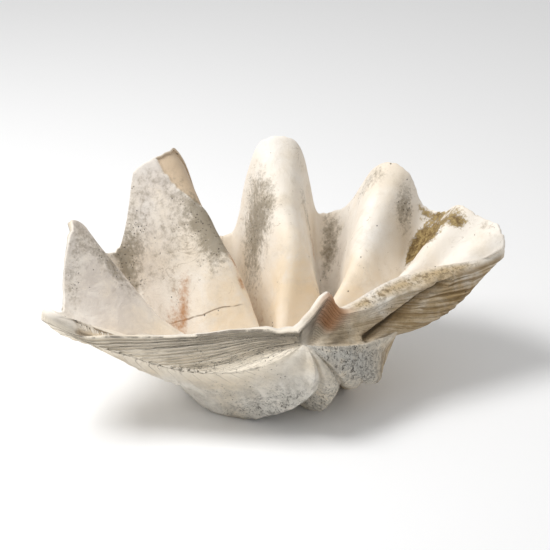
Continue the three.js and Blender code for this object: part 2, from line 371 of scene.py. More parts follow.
def floor_points(edge, direction, x):
    """From the end of the grown inner wall down to the middle of the hollow."""
    centre = np.array(HOLLOW_FLOOR, float)
    pull = np.linalg.norm(edge - centre, axis=-1, keepdims=True)
    level = (centre - edge) * (1, 1, 0)
    a = 2 * x**3 - 3 * x**2 + 1
    b = (x**3 - 2 * x**2 + x) * FLOOR_PULL * pull
    c = 3 * x**2 - 2 * x**3
    d = (x**3 - x**2) * FLOOR_LEVEL
    return a * edge + b * direction + c * centre + d * level


class OuterProbes:
    """Points on the outer skin, each with the direction that leads into the hollow."""

    def __init__(self):
        turn = LAST_STATION - FIRST_STATION
        station = FIRST_STATION + turn * (np.arange(PROBE_STATIONS) + 0.5) / PROBE_STATIONS
        growth = PROBE_START + (1 - PROBE_START) * (np.arange(PROBE_ROWS) + 1) / PROBE_ROWS
        station, growth = np.meshgrid(station, growth)
        points = outer_points(station, growth)
        ahead = outer_points(wrap(station + NORMAL_STEP), growth)
        inner = outer_points(station, growth - NORMAL_STEP)
        self.points = points.reshape(-1, 3)
        self.inward = unit(np.cross(ahead - points, points - inner)).reshape(-1, 3)
        self.tree = kdtree.KDTree(len(self.points))
        for i, point in enumerate(self.points):
            self.tree.insert(point, i)
        self.tree.balance()

    def keep_wall(self, points, wall, passes=8):
        flat = points.reshape(-1, 3).copy()
        wall = np.broadcast_to(wall, points.shape[:-1]).reshape(-1)
        for _ in range(passes):
            nearest = np.array([self.tree.find(point)[1] for point in flat])
            side = ((flat - self.points[nearest]) * self.inward[nearest]).sum(-1)
            push = np.maximum(wall - side, 0)[:, None]
            flat += self.inward[nearest] * push
        return flat.reshape(points.shape)


def lattice_noise(points, cell, seed=0):
    """Smooth noise between -1 and 1.  Large odd numbers mix each cell's place into its value."""
    scaled = points / cell
    base = np.floor(scaled).astype(np.int64)
    part = scaled - base
    part = part * part * (3 - 2 * part)
    total = np.zeros(points.shape[:-1])
    for corner in itertools.product((0, 1), repeat=3):
        x, y, z = np.moveaxis(base + np.array(corner), -1, 0)
        mixed = (x * 73856093) ^ (y * 19349663) ^ (z * 83492791) ^ ((seed + SEED) * 2654435761)
        mixed = ((mixed ^ (mixed >> 13)) * 1274126177) & 0x7FFFFFFF
        mixed = ((mixed ^ (mixed >> 15)) * 2246822519) & 0x7FFFFFFF
        weight = np.prod(np.where(np.array(corner) == 1, part, 1 - part), axis=-1)
        total += weight * (mixed / 0x7FFFFFFF)
    return 2 * total - 1


def layered_noise(points, cell, seed=0, layers=3):
    total = 0
    for k in range(layers):
        total = total + lattice_noise(points, cell / 2**k, seed + 7 * k) / 2**k
    return total / 1.5


def station_list():
    parts = [np.linspace(FIRST_STATION, 0.5, STEPS_PER_END, endpoint=False)]
    for fold in range(1, 6):
        parts.append(np.linspace(fold - 0.5, fold + 0.5, STEPS_PER_FOLD, endpoint=False))
    parts.append(np.linspace(5.5, LAST_STATION, STEPS_PER_END, endpoint=False))
    return np.concatenate(parts)


def ring_vector(station, growth):
    """A place on the shell that has no seam where the stations meet."""
    angle = 2 * np.pi * (station - FIRST_STATION) / (LAST_STATION - FIRST_STATION)
    across = [RING_RADIUS * np.cos(angle), RING_RADIUS * np.sin(angle)]
    return np.stack([*across, RING_RISE * growth], -1)


def lamella_edges():
    rng = np.random.default_rng(SEED)
    widths = rng.uniform(0.6, 1.4, LAMELLAE)
    edges = np.concatenate([[0], np.cumsum(widths)]) / widths.sum()
    return edges**LAMELLA_SPREAD


def outer_rows(stations):
    edges = lamella_edges()
    growth, phase = [], []
    for start, end in zip(edges[:-1], edges[1:]):
        for part in ROWS_IN_LAMELLA:
            growth.append(start + (end - start) * part)
            phase.append(part)
    growth.append(1.0)
    phase.append(1.0)
    station, growth = np.meshgrid(stations, growth)
    wander = LAMELLA_WANDER * lattice_noise(ring_vector(station, growth), 55, 3)
    growth = growth + wander * ease(0.1, 0.4, growth) * (1 - ease(0.93, 1, growth))
    phase = np.repeat(np.array(phase)[:, None], len(stations), 1)
    return station, growth, phase


def surface_normals(points):
    along = np.roll(points, -1, 1) - np.roll(points, 1, 1)
    across = np.gradient(points, axis=0)
    return unit(np.cross(across, along))


@dataclass
class Shell:
    """Rows of points, and where each point lies on the shell."""

    rows: np.ndarray
    station: np.ndarray
    growth: np.ndarray
    inside: np.ndarray  # 0 on the outer skin, 1 in the hollow
    phase: np.ndarray  # 0 to 1 across each lamella


def inner_start(stations):
    """The growth where the grown inner wall gives way to the floor of the hollow."""
    folds = ease(0.3, 1.7, stations) * (1 - ease(4.2, 5.6, stations))
    return INNER_START_HINGE + (INNER_START_FOLDS - INNER_START_HINGE) * folds


def inner_rows(stations, start, probes):
    step = np.linspace(0, 1, INNER_ROWS + 1)[:, None]
    growth = 1 - (1 - start) * step
    wall = LEAST_WALL + (LEAST_FLOOR - LEAST_WALL) * step / 2
    points = inner_points(np.broadcast_to(stations, growth.shape), growth)
    return growth, probes.keep_wall(points, wall - RIM_ALLOWANCE)


def crown_rows(stations, outer_edge, inner_edge):
    """Round the margin over, from the outer skin to the inner wall."""
    share = (np.arange(CROWN_ROWS) + 1) / (CROWN_ROWS + 1)
    margin = outer_points(stations, np.ones_like(stations))
    behind = outer_points(stations, np.full_like(stations, 1 - NORMAL_STEP))
    outward = unit(margin - behind)
    across = inner_edge - outer_edge
    width = np.linalg.norm(across, axis=-1)
    height = np.minimum(width * CROWN_SHARE, CROWN_HEIGHT)
    rise = np.sin(np.pi * share) ** CROWN_ROUND
    crown = outer_edge + across * share[:, None, None]
    return share, crown + outward * rise[:, None, None] * height[:, None]


def floor_rows(stations, start, edge, probes):
    direction = unit(edge - inner_points(stations, start + NORMAL_STEP))
    step = (np.arange(1, FLOOR_ROWS) / FLOOR_ROWS)[:, None, None]
    wall = LEAST_WALL + (LEAST_FLOOR - LEAST_WALL) * (1 + step[..., 0]) / 2
    points = floor_points(edge, direction, step)
    return start * (1 - step[..., 0]), probes.keep_wall(points, wall)


def make_shell():
    """From the beak over the outer skin and the margin down to the hollow's floor."""
    stations = station_list()
    station, growth_out, phase = outer_rows(stations)
    outer = outer_points(station, growth_out)
    probes = OuterProbes()
    start = inner_start(stations)
    growth_in, inner = inner_rows(stations, start, probes)
    share, crown = crown_rows(stations, outer[-1], inner[0])
    growth_floor, floor = floor_rows(stations, start, inner[-1], probes)
    rows = np.concatenate([outer, crown, inner, floor])
    on_crown = np.ones((CROWN_ROWS, len(stations)))
    in_hollow = np.ones((len(inner) + len(floor), len(stations)))
    return Shell(
        rows=rows,
        station=np.broadcast_to(stations, rows.shape[:2]),
        growth=np.concatenate([growth_out, on_crown, growth_in, growth_floor]),
        inside=np.concatenate([np.zeros_like(growth_out), on_crown * share[:, None], in_hollow]),
        phase=np.concatenate([phase, np.zeros((len(rows) - len(phase), len(stations)))]),
    )


# Lines on the shell, in millimetres in the row frame: the ligament groove, which is followed
# in x and z only, and the scar inside.  Each wanders a little and fades at its ends.
LIGAMENT_GROOVE = (
    (86, 0, 109),
    (100, 0, 112),
    (117, 0, 117),
    (144, 0, 127),
    (170, 0, 140),
    (206, 0, 153),
)
GROOVE_WANDER = 0.6
GROOVE_FADE = 5
SCAR_LINE = (
    (-113, 56, 74),
    (-98, 39, 85),
    (-85, 27, 95),
    (-64, 17, 103),
    (-31, 10, 108),
)
SCAR_WANDER = 2.5
SCAR_FADE = 7
SCAR_NEAREST_Y = -20
# Station, then the growth where the inner layer of the second fold has broken away.
BROKEN_EDGE = ((1.9, 1.05), (1.915, 0.97), (1.93, 0.9), (1.96, 0.85), (2.03, 0.79), (2.2, 0.74))


def line_distance(points, line):
    nearest = np.full(points.shape[:-1], 1e9)
    for start, end in zip(np.array(line[:-1], float), np.array(line[1:], float)):
        along = end - start
        share = np.clip(((points - start) @ along) / (along @ along), 0, 1)
        gap = np.linalg.norm(points - start - share[..., None] * along, axis=-1)
        nearest = np.minimum(nearest, gap)
    return nearest


def line_gap(points, line, wander):
    """How far points lie above a line that is followed along x."""
    x, _, z = np.array(line, float).T
    return points[..., 2] - np.interp(points[..., 0], x, z) - wander * lattice_noise(points, 14, 41)


def line_share(points, line, fade):
    """1 between the two ends of a line that is followed along x."""
    x = points[..., 0]
    start, end = line[0][0], line[-1][0]
    return ease(start - fade, start + fade, x) * (1 - ease(end - fade, end + fade, x))


def broken_layer(station, growth, inside):
    """1 where the inner layer has broken away, and 1 along the edge that it left."""
    past = growth - np.interp(station, *zip(*BROKEN_EDGE))
    sides = ease(1.88, 1.92, station) * (1 - ease(2.2, 2.3, station)) * inside
    return ease(0, 0.012, past) * sides, bump(past, -0.003, 0.007) * sides


def margin_chips(station, growth):
    """How far the margin is worn back, in millimetres."""
    place = ring_vector(station, growth)
    depth, cell, seed = CHIPS
    chips = depth * ease(0.35, 0.75, lattice_noise(place, cell, seed))
    depth, cell, seed = NIBBLES
    nibbles = depth * lattice_noise(place, cell, seed)
    depth, cell, seed = MARGIN_WANDER
    wander = depth * lattice_noise(place, cell, seed)
    calm = 1 - 0.8 * bump(station, 0.05, 0.45)
    return (chips + nibbles + wander) * ease(0.97, 1, growth) * calm


def uneven(points, table):
    total = 0
    for height, cell, seed, layers in table:
        total = total + height * layered_noise(points, cell, seed, layers)
    return total


def outer_relief(shell, outside):
    """Growth steps, lumps and clefts of the outer skin."""
    rows, station, growth = shell.rows, shell.station, shell.growth
    worn = ease(-0.5, 0.5, lattice_noise(rows, 45, 21))
    ledge = (1 - ease(0.1, 0.6, station)) * ease(0.35, 0.6, growth)
    height = STEP_HEIGHT + WORN_STEP_HEIGHT * worn + LEDGE_STEP_HEIGHT * ledge
    steps = height * shell.phase**1.6 * ease(0.15, 0.4, growth)
    out = outside * (steps + uneven(rows, OUTER_LUMPS) * ease(0.05, 0.3, growth))
    filled = bump(station, *FILLED_STATION) * bump(growth, *FILLED_GROWTH)
    out = out + FILLED_HEIGHT * outside * filled
    out = out * (1 - 0.8 * outside * bump(station, 0.12, 0.25) * ease(0.75, 0.92, growth))
    near_beak = ease(0.02, 0.1, growth) * (1 - ease(0.3, 0.55, growth))
    for fold in CLEFT_FOLDS:
        out = out - CLEFT_DEPTH * outside * bump(station, fold, CLEFT_WIDTH) * near_beak
    return out


def inner_relief(shell):
    """Soft waves, and rings along the growth, of the inner wall."""
    place = ring_vector(shell.station, shell.growth)
    rings = INNER_RING_HEIGHT * lattice_noise(place * (0.25, 0.25, 1), 9, 15)
    return uneven(shell.rows, INNER_WAVES) + rings


def relief(shell):
    """How far the real surface stands above the grown one, in millimetres."""
    outside = 1 - ease(0, 0.3, shell.inside)
    inner = ease(0.7, 1, shell.inside)
    broken = broken_layer(shell.station, shell.growth, inner)[0]
    return outer_relief(shell, outside) + inner * inner_relief(shell) - BROKEN_DEPTH * broken


def wear(shell):
    """Add the relief, and take the chips off the margin."""
    station, growth = shell.station, shell.growth
    normals = surface_normals(shell.rows)
    behind = outer_points(station, growth - NORMAL_STEP)
    outward = unit(outer_points(station, growth) - behind)
    rows = shell.rows + normals * relief(shell)[..., None]
    return rows - outward * margin_chips(station, growth)[..., None], normals


def carve_groove(rows, normals, front):
    """Cut the ligament groove, which is measured as seen from the front."""
    groove = line_distance(rows * (1, 0, 1), LIGAMENT_GROOVE)
    cut = GROOVE_DEPTH * np.exp(-((groove / GROOVE_WIDTH) ** 2))
    ridges = RIDGE_HEIGHT * np.exp(-(((groove - RIDGE_AT) / RIDGE_WIDTH) ** 2))
    return rows - normals * ((cut - ridges) * front)[..., None]


# Where the surface is stained or worn, or has painted shade: station, its half width, growth, its
# half width, strength.
GREY_PATCHES = (
    (1.57, 0.12, 0.97, 0.08, 1.0),
    (1.04, 0.12, 0.86, 0.12, 0.7),
    (0.8, 0.25, 0.97, 0.05, 0.5),
    (2.03, 0.1, 0.72, 0.09, 1.0),
    (2.0, 0.12, 0.6, 0.08, 0.7),
    (1.85, 0.25, 0.85, 0.2, 0.45),
    (2.76, 0.12, 0.84, 0.13, 0.85),
    (2.88, 0.1, 0.76, 0.08, 0.6),
    (3.2, 0.1, 0.84, 0.06, 0.5),
    (3.55, 0.14, 0.93, 0.1, 0.8),
    (3.87, 0.1, 0.95, 0.06, 0.6),
    (4.2, 0.14, 0.91, 0.07, 0.8),
    (5.3, 0.5, 0.97, 0.04, 0.35),
)
ORANGE_PATCHES = (
    (1.71, 0.09, 0.695, 0.03, 0.85),
    (1.66, 0.05, 0.74, 0.03, 0.6),
    (2.08, 0.05, 0.56, 0.06, 1.0),
    (2.06, 0.04, 0.44, 0.05, 0.8),
    (2.52, 0.08, 0.8, 0.05, 1.0),
    (2.6, 0.12, 0.7, 0.1, 0.6),
    (3.3, 0.05, 0.85, 0.04, 0.6),
)
# Brown grime together with painted shade, in the deep recess between the fourth and fifth folds.
DIRT_AND_SHADE_PATCHES = (
    (4.62, 0.2, 0.9, 0.07, 1.0),
    (4.8, 0.16, 0.84, 0.05, 0.9),
    (4.98, 0.16, 0.94, 0.035, 0.9),
    (4.52, 0.1, 0.86, 0.05, 0.8),
    (4.6, 0.4, 0.985, 0.02, 0.5),
)
OUTER_TAN = (
    (6.15, 0.5, 0.8, 0.4, 1.0),
    (4.5, 0.7, 0.35, 0.18, 0.9),
    (0.25, 0.3, 0.85, 0.2, 0.5),
    (3.4, 0.3, 0.5, 0.2, 0.5),
)
OUTER_PITTED = (
    (4.4, 1.3, 0.13, 0.15, 1.0),
    (1.5, 0.8, 0.35, 0.16, 0.6),
    (2.5, 0.7, 0.25, 0.12, 0.4),
    (-0.4, 0.5, 0.55, 0.15, 0.5),
)
# Painted warm shade, strongest low in the hollow across the middle folds and faint on the fourth
# fold.
WARM_SHADE_PATCHES = (
    (2.6, 3.2, 0.45, 0.22, 0.9),
    (4.0, 0.2, 0.85, 0.1, 0.3),
)
# Mostly painted shade on the first and second folds and in one valley, partly a lilac-grey tone of
# the porcelain itself.
COOL_SHADE_PATCHES = (
    (1.0, 0.45, 0.85, 0.25, 0.9),
    (1.95, 0.3, 0.92, 0.12, 0.9),
    (3.5, 0.2, 0.8, 0.15, 0.4),
)
INNER_PATCHES = {
    "grey": GREY_PATCHES,
    "orange": ORANGE_PATCHES,
    "dirt_and_shade": DIRT_AND_SHADE_PATCHES,
    "cool": COOL_SHADE_PATCHES,
    "warm": WARM_SHADE_PATCHES,
}
OUTER_PATCHES = {"tan": OUTER_TAN, "pitted": OUTER_PITTED}


def patches(table, station, growth, side):
    """How strong the patches of a table are on one side of the wall, from 0 to 1."""
    total = 0
    for at, width, grown_at, depth, strength in table:
        total = total + strength * bump(station, at, width) * bump(growth, grown_at, depth)
    return np.clip(total, 0, 1) * ease(0.5, 1, side)


def shift_to_frame(rows, cad_low, cad_high):
    """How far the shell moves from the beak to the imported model's place."""
    points = rows.reshape(-1, 3)
    centre = (points.min(0) + points.max(0)) / 2
    low = points[:, 2].min() + WORN_DEPTH
    middle = (np.array(cad_low) + np.array(cad_high)) * 1000 / 2
    return np.array([middle[0] - centre[0], middle[1] - centre[1], cad_low[2] * 1000 - low])


def add_attribute(mesh, name, values):
    """Store a number or a vector at each point; the two end points repeat their rows'."""
    if values.ndim == 3:
        data = np.concatenate([values[:1, 0], values.reshape(-1, 3), values[-1:, 0]])
        layer = mesh.attributes.new(name, "FLOAT_VECTOR", "POINT")
        layer.data.foreach_set("vector", data.ravel())
    else:
        data = np.concatenate([values[:1, 0], values.ravel(), values[-1:, 0]])
        layer = mesh.attributes.new(name, "FLOAT", "POINT")
        layer.data.foreach_set("value", data)


def build_mesh(rows, fields, beak, floor, name):
    """A closed mesh: a fan at the beak, quads between the rows, and a fan on the floor."""
    count, width = rows.shape[:2]
    points = np.concatenate([[beak], rows.reshape(-1, 3), [floor]]) / 1000
    index = 1 + np.arange(count * width).reshape(count, width)
    right = np.roll(index, -1, 1)
    quads = np.stack([index[:-1], index[1:], right[1:], right[:-1]], -1).reshape(-1, 4)
    first = np.stack([np.zeros(width, int), index[0], right[0]], -1)
    last = np.stack([np.full(width, len(points) - 1), right[-1], index[-1]], -1)
    mesh = bpy.data.meshes.new(name)
    loops = np.concatenate([first.ravel(), quads.ravel(), last.ravel()])
    totals = np.concatenate([np.full(width, 3), np.full(len(quads), 4), np.full(width, 3)])
    mesh.vertices.add(len(points))
    mesh.vertices.foreach_set("co", points.ravel())
    mesh.loops.add(len(loops))
    mesh.loops.foreach_set("vertex_index", loops)
    mesh.polygons.add(len(totals))
    mesh.polygons.foreach_set("loop_start", np.cumsum(totals) - totals)
    mesh.polygons.foreach_set("use_smooth", np.ones(len(totals), bool))
    mesh.update()
    for key, values in fields.items():
        add_attribute(mesh, key, values)
    mesh.validate()
    return mesh


COLOURS = {
    # the porcelain inside
    "porcelain": "f8f2e9",
    "cream": "efe2cf",
    # painted warm shade low in the hollow
    "painted warm shade": "f3ddba",
    "porcelain mottle": "d9ccb8",
    # mostly painted shade on the first folds, partly a lilac-grey tone
    "cool grey and painted shade": "cfc6bf",
    "hair line": "8c7a64",
    # the chalky outside
    "chalk": "ebe5da",
    "chalk shade": "dfd1ba",
    "chalk mottle": "bdb4a6",
    "tan": "b39564",
    "tan layers": "84693f",
    "bored chalk": "c4c2bb",
    "bored speckle": "7c7972",
    "ledge": "fcf1de",
    # growth lines and painted shadow under the growth steps
    "ledge line and step shadow": "584c40",
    # painted shade on the face of the thin flap by the hinge
    "painted flap shade": "b07a4e",
    # painted shade in the ligament groove
    "groove": "34281c",
    # the hinge plate, the broken layer and the scar
    "plate": "bfa67c",
    "plate speckle": "6e5c40",
    "under layer": "cdb391",
    "broken edge": "fff8ec",
    "scar": "7a6247",
    # weathering, and the brown grime that also carries painted shade
    "weathered": "8f8471",
    "rust": "b98250",
    "dirt_and_shade": "6d5530",
    "dirt speckle": "ab9463",
    "pit": "565049",
    "boring": "4c463d",
}


def colour_of(name):
    """A linear colour from the six hexadecimal digits of a named colour."""
    parts = [int(COLOURS[name][i : i + 2], 16) / 255 for i in (0, 2, 4)]
    linear = [c / 12.92 if c <= 0.04045 else ((c + 0.055) / 1.055) ** 2.4 for c in parts]
    return (*linear, 1.0)


class Graph:
    """Short names for the material nodes used here."""

    def __init__(self, name):
        self.material = bpy.data.materials.new(name)
        self.material.use_nodes = True
        self.tree = self.material.node_tree
        self.shader = self.tree.nodes["Principled BSDF"]

    def put(self, socket, value):
        if isinstance(value, bpy.types.NodeSocket):
            self.tree.links.new(value, socket)
        else:
            socket.default_value = value

    def attribute(self, name, output="Fac"):
        node = self.tree.nodes.new("ShaderNodeAttribute")
        node.attribute_name = name
        return node.outputs[output]

    def position(self):
        return self.tree.nodes.new("ShaderNodeTexCoord").outputs["Object"]

    def stretched(self, vector, scale):
        node = self.tree.nodes.new("ShaderNodeMapping")
        self.put(node.inputs["Vector"], vector)
        node.inputs["Scale"].default_value = scale
        return node.outputs["Vector"]

    def noise(self, vector, scale, detail=4, roughness=0.6, distortion=0):
        node = self.tree.nodes.new("ShaderNodeTexNoise")
        self.put(node.inputs["Vector"], vector)
        node.inputs["Scale"].default_value = scale
        node.inputs["Detail"].default_value = detail
        node.inputs["Roughness"].default_value = roughness
        node.inputs["Distortion"].default_value = distortion
        return node.outputs["Fac"]

    def ramp(self, value, low, high, top=1.0):
        node = self.tree.nodes.new("ShaderNodeMapRange")
        node.interpolation_type = "SMOOTHSTEP"
        self.put(node.inputs["Value"], value)
        node.inputs["From Min"].default_value = low
        node.inputs["From Max"].default_value = high
        node.inputs["To Max"].default_value = top
        return node.outputs["Result"]

    def math(self, operation, a, b=0.0):
        node = self.tree.nodes.new("ShaderNodeMath")
        node.operation = operation
        self.put(node.inputs[0], a)
        self.put(node.inputs[1], b)
        return node.outputs[0]

    def times(self, *values):
        result = values[0]
        for value in values[1:]:
            result = self.math("MULTIPLY", result, value)
        return result

    def mix(self, amount, a, b):
        node = self.tree.nodes.new("ShaderNodeMix")
        node.data_type = "RGBA"
        self.put(node.inputs[0], amount)
        self.put(node.inputs[6], a)
        self.put(node.inputs[7], b)
        return node.outputs[2]

    def tint(self, colour, name, *amounts):
        """Lay a named colour over another by the product of the amounts."""
        return self.mix(self.times(*amounts), colour, colour_of(name))

    def line(self, gap, width, core):
        """1 within core of a line, 0 beyond width, from the signed distance to it."""
        return self.ramp(self.math("ABSOLUTE", gap), width, core)

    def blend(self, amount, a, b):
        node = self.tree.nodes.new("ShaderNodeMix")
        node.data_type = "FLOAT"
        self.put(node.inputs[0], amount)
        self.put(node.inputs[2], a)
        self.put(node.inputs[3], b)
        return node.outputs[0]

    def pits(self, vector, scale, share, size):
        """Round pits in a share of the cells of a cell pattern: 1 in a pit."""
        node = self.tree.nodes.new("ShaderNodeTexVoronoi")
        self.put(node.inputs["Vector"], vector)
        node.inputs["Scale"].default_value = scale
        split = self.tree.nodes.new("ShaderNodeSeparateColor")
        self.put(split.inputs[0], node.outputs["Color"])
        chosen = self.math("LESS_THAN", split.outputs[0], share)
        hole = self.ramp(node.outputs["Distance"], size, size * 0.4)
        return self.times(chosen, hole)

    def bent(self, vector, scale, amount):
        """The same places, shaken a little so that round shapes come out ragged."""
        noise = self.tree.nodes.new("ShaderNodeTexNoise")
        self.put(noise.inputs["Vector"], vector)
        noise.inputs["Scale"].default_value = scale
        node = self.tree.nodes.new("ShaderNodeVectorMath")
        node.operation = "MULTIPLY_ADD"
        self.put(node.inputs[0], noise.outputs["Color"])
        node.inputs[1].default_value = (amount, amount, amount)
        self.put(node.inputs[2], vector)
        return node.outputs[0]

    def bump(self, height, distance):
        node = self.tree.nodes.new("ShaderNodeBump")
        self.put(node.inputs["Height"], height)
        node.inputs["Distance"].default_value = distance
        return node.outputs["Normal"]


def shell_patterns(g):
    """The attributes and noises that the whole surface is made from."""
    position = g.position()
    wavy = g.bent(g.attribute("place", "Vector"), 0.022, 32)
    inside = g.ramp(g.attribute("inside"), 0.2, 0.9)
    return SimpleNamespace(
        position=position,
        inside=inside,
        outside=g.math("SUBTRACT", 1.0, inside),
        broad=g.noise(position, 9, 3),
        mottle=g.noise(position, 42, 8, 0.7, 0.3),
        cloud=g.noise(position, 24, 6, 0.65, 0.6),
        speckle=g.noise(position, 170, 6, 0.75),
        grain=g.noise(position, 900, 3),
        layers=g.noise(g.stretched(wavy, (0.012, 0.012, 0.15)), 1.0, 6, 0.6, 0.4),
        threads=g.noise(g.stretched(wavy, (0.022, 0.022, 0.3)), 1.0, 6, 0.62, 1.1),
        ledge=g.attribute("ledge"),
        grey=g.attribute("grey"),
        dirt_and_shade=g.attribute("dirt_and_shade"),
        pitted=g.attribute("pitted"),
    )


def inner_colour(g, p):
    colour = g.mix(g.ramp(p.broad, 0.35, 0.65), colour_of("porcelain"), colour_of("cream"))
    # Painted warm shade where the warm patches lie, broken up by a cloud noise.
    colour = g.tint(colour, "painted warm shade", g.attribute("warm"), g.ramp(p.cloud, 0.3, 0.6, 0.7))
    colour = g.tint(colour, "porcelain mottle", g.ramp(p.mottle, 0.48, 0.72, 0.45))
    # Mostly painted shade, partly lilac-grey tone, where the cool patches lie.
    colour = g.tint(colour, "cool grey and painted shade", g.attribute("cool"), g.ramp(p.mottle, 0.25, 0.6, 0.9))
    contour = g.math("SUBTRACT", g.noise(p.position, 11, 5, 0.55, 1.5), 0.5)
    hairs = g.line(contour, 0.006, 0.0)
    return g.tint(colour, "hair line", hairs, g.ramp(p.cloud, 0.5, 0.62, 0.45))


def ledge_lines_and_step_shade(g, p):
    """Dark lines along the growth steps, thickest on the ledges beside the beak: partly growth
    lines, partly painted shadow under each overhanging step.
    """
    near_beak = g.ramp(g.attribute("station"), -0.1, -0.75, 0.8)
    crowded = g.math("ADD", near_beak, 0.2)
    threads = g.times(g.ramp(p.threads, 0.62, 0.7, 0.7), p.ledge, crowded)
    long_lines = g.line(g.math("SUBTRACT", p.layers, 0.55), 0.009, 0.002)
    lines = g.math("MAXIMUM", threads, g.times(long_lines, p.ledge, crowded))
    # Painted shadow along the edge of each growth step.
    step = g.times(g.ramp(g.attribute("step"), 0.84, 0.99), g.ramp(p.cloud, 0.42, 0.58))
    on_ledges = g.math("ADD", g.times(p.ledge, 0.7), 0.25)
    return g.math("MAXIMUM", lines, g.times(step, on_ledges))


def outer_colour(g, p, lines):
    tan = g.attribute("tan")
    colour = g.mix(g.ramp(p.broad, 0.4, 0.62), colour_of("chalk"), colour_of("chalk shade"))
    colour = g.tint(colour, "chalk mottle", g.ramp(p.mottle, 0.42, 0.68, 0.7))
    colour = g.tint(colour, "tan", tan, g.ramp(p.cloud, 0.3, 0.62, 0.9))
    colour = g.tint(colour, "tan layers", tan, g.ramp(p.layers, 0.46, 0.6, 0.85))
    colour = g.tint(colour, "bored chalk", p.pitted, g.ramp(p.mottle, 0.3, 0.5, 0.9))
    colour = g.tint(colour, "bored speckle", p.pitted, g.ramp(p.speckle, 0.47, 0.6, 0.85))
    colour = g.tint(colour, "ledge", p.ledge, 0.9)
    # Growth lines and painted shadow under the growth steps.
    colour = g.tint(colour, "ledge line and step shadow", lines, 0.8)
    # Brown painted shade on the face of the thin flap by the hinge, which stands turned from the
    # light.
    colour = g.tint(colour, "painted flap shade", g.attribute("painted_pocket_shade"), 0.9)
    # Besides being carved, the ligament groove is painted dark as the shade in its crevice.
    groove = g.line(g.attribute("groove_gap"), 3.6, 1.4)
    return g.tint(colour, "groove", groove, g.attribute("groove"), 0.92)


def marked(g, p, colour):
    """Add the hinge plate, the broken layer on the second fold and the scar inside."""
    plate = g.attribute("plate")
    colour = g.tint(colour, "plate", plate, g.ramp(p.cloud, 0.25, 0.55, 0.9))
    colour = g.tint(colour, "plate speckle", plate, g.ramp(p.speckle, 0.46, 0.58, 0.8))
    colour = g.tint(colour, "under layer", g.attribute("broken"), 0.8)
    colour = g.tint(colour, "broken edge", g.attribute("edge_line"), 0.9)
    scar = g.line(g.attribute("scar_gap"), 1.3, 0.5)
    patchy = g.ramp(p.mottle, 0.32, 0.48)
    return g.tint(colour, "scar", scar, g.attribute("scar"), patchy, 0.7)


def stained(g, p, colour):
    """Add weathering, rust, and the brown grime and painted shade of the recess between the fourth
    and fifth folds, with edges broken up by the noises.
    """
    fine = g.math("ADD", g.times(p.mottle, 0.9), g.times(p.speckle, 1.6))
    ragged = g.math("ADD", g.times(p.cloud, 0.5), fine)
    grey = g.ramp(g.math("ADD", p.grey, ragged), 1.75, 2.45)
    colour = g.tint(colour, "weathered", grey, g.ramp(p.grey, 0.02, 0.4), 0.85)
    orange = g.attribute("orange")
    rust = g.ramp(g.math("ADD", orange, ragged), 1.75, 2.7)
    colour = g.tint(colour, "rust", rust, g.ramp(orange, 0.02, 0.4), 0.9)
    # The brown of the recess stands for grime and painted shade together.
    speckled = g.ramp(p.speckle, 0.4, 0.62)
    dirt_and_shade_colour = g.mix(speckled, colour_of("dirt_and_shade"), colour_of("dirt speckle"))
    dirt_and_shade = g.ramp(g.math("ADD", p.dirt_and_shade, ragged), 1.75, 2.15)
    return g.mix(g.times(dirt_and_shade, g.ramp(p.dirt_and_shade, 0.03, 0.3)), colour, dirt_and_shade_colour)


def round_pits(g, p):
    """Small round borings, most of them where the surface is weathered."""
    worn = g.math("ADD", g.math("ADD", g.times(p.outside, 0.35), p.grey), g.times(p.pitted, 0.5))
    clusters = g.ramp(g.noise(p.position, 30, 3, 0.6), 0.48, 0.66, 0.6)
    worn = g.math("ADD", worn, g.math("SUBTRACT", clusters, 0.2))
    bent = g.bent(p.position, 120, 0.004)
    few = g.pits(bent, 120, 0.07, 0.17)
    many = g.times(g.pits(bent, 280, 0.6, 0.32), g.ramp(worn, 0.35, 0.95))
    return g.math("MAXIMUM", few, many)


def long_borings(g, p):
    """Short winding marks, nearly all of them where the outside is bored."""
    marks = g.ramp(g.noise(p.position, 190, 4, 0.7, 1.6), 0.57, 0.63)
    where = g.math("ADD", g.times(p.outside, 0.1), g.times(p.pitted, p.outside))
    return g.times(marks, g.ramp(where, 0.15, 0.8))


def roughness(g, p, pits):
    rough = g.blend(p.inside, 0.82, 0.46)
    rough = g.math("ADD", rough, g.times(g.math("SUBTRACT", p.speckle, 0.5), 0.25))
    dull = g.math("MAXIMUM", g.math("MAXIMUM", p.grey, p.dirt_and_shade), pits)
    return g.math("MINIMUM", g.math("ADD", rough, g.times(dull, 0.3)), 0.97)


def fine_relief(g, p, pits, marks, lines):
    """A bump height that follows the grain, the pits and the lines."""
    sunk = g.math("ADD", g.times(lines, p.outside, 0.7), g.times(marks, 0.6))
    height = g.times(p.speckle, g.blend(p.inside, 1.0, 0.3))
    height = g.math("SUBTRACT", height, g.times(pits, 0.8))
    height = g.math("SUBTRACT", height, sunk)
    height = g.math("ADD", height, g.times(p.grain, 0.12))
    return g.math("ADD", height, g.times(p.mottle, g.blend(p.inside, 1.2, 0.8)))


def shell_material():
    g = Graph("shell_surface")
    p = shell_patterns(g)
    lines = ledge_lines_and_step_shade(g, p)
    pits = round_pits(g, p)
    marks = long_borings(g, p)
    colour = g.mix(p.inside, outer_colour(g, p, lines), inner_colour(g, p))
    colour = stained(g, p, marked(g, p, colour))
    colour = g.tint(colour, "pit", pits, 0.85)
    colour = g.tint(colour, "boring", marks, 0.85)
    g.put(g.shader.inputs["Base Color"], colour)
    g.put(g.shader.inputs["Roughness"], roughness(g, p, pits))
    g.shader.inputs["Specular IOR Level"].default_value = 0.4
    height = fine_relief(g, p, pits, marks, lines)
    g.put(g.shader.inputs["Normal"], g.bump(height, BUMP_DISTANCE))
    return g.material


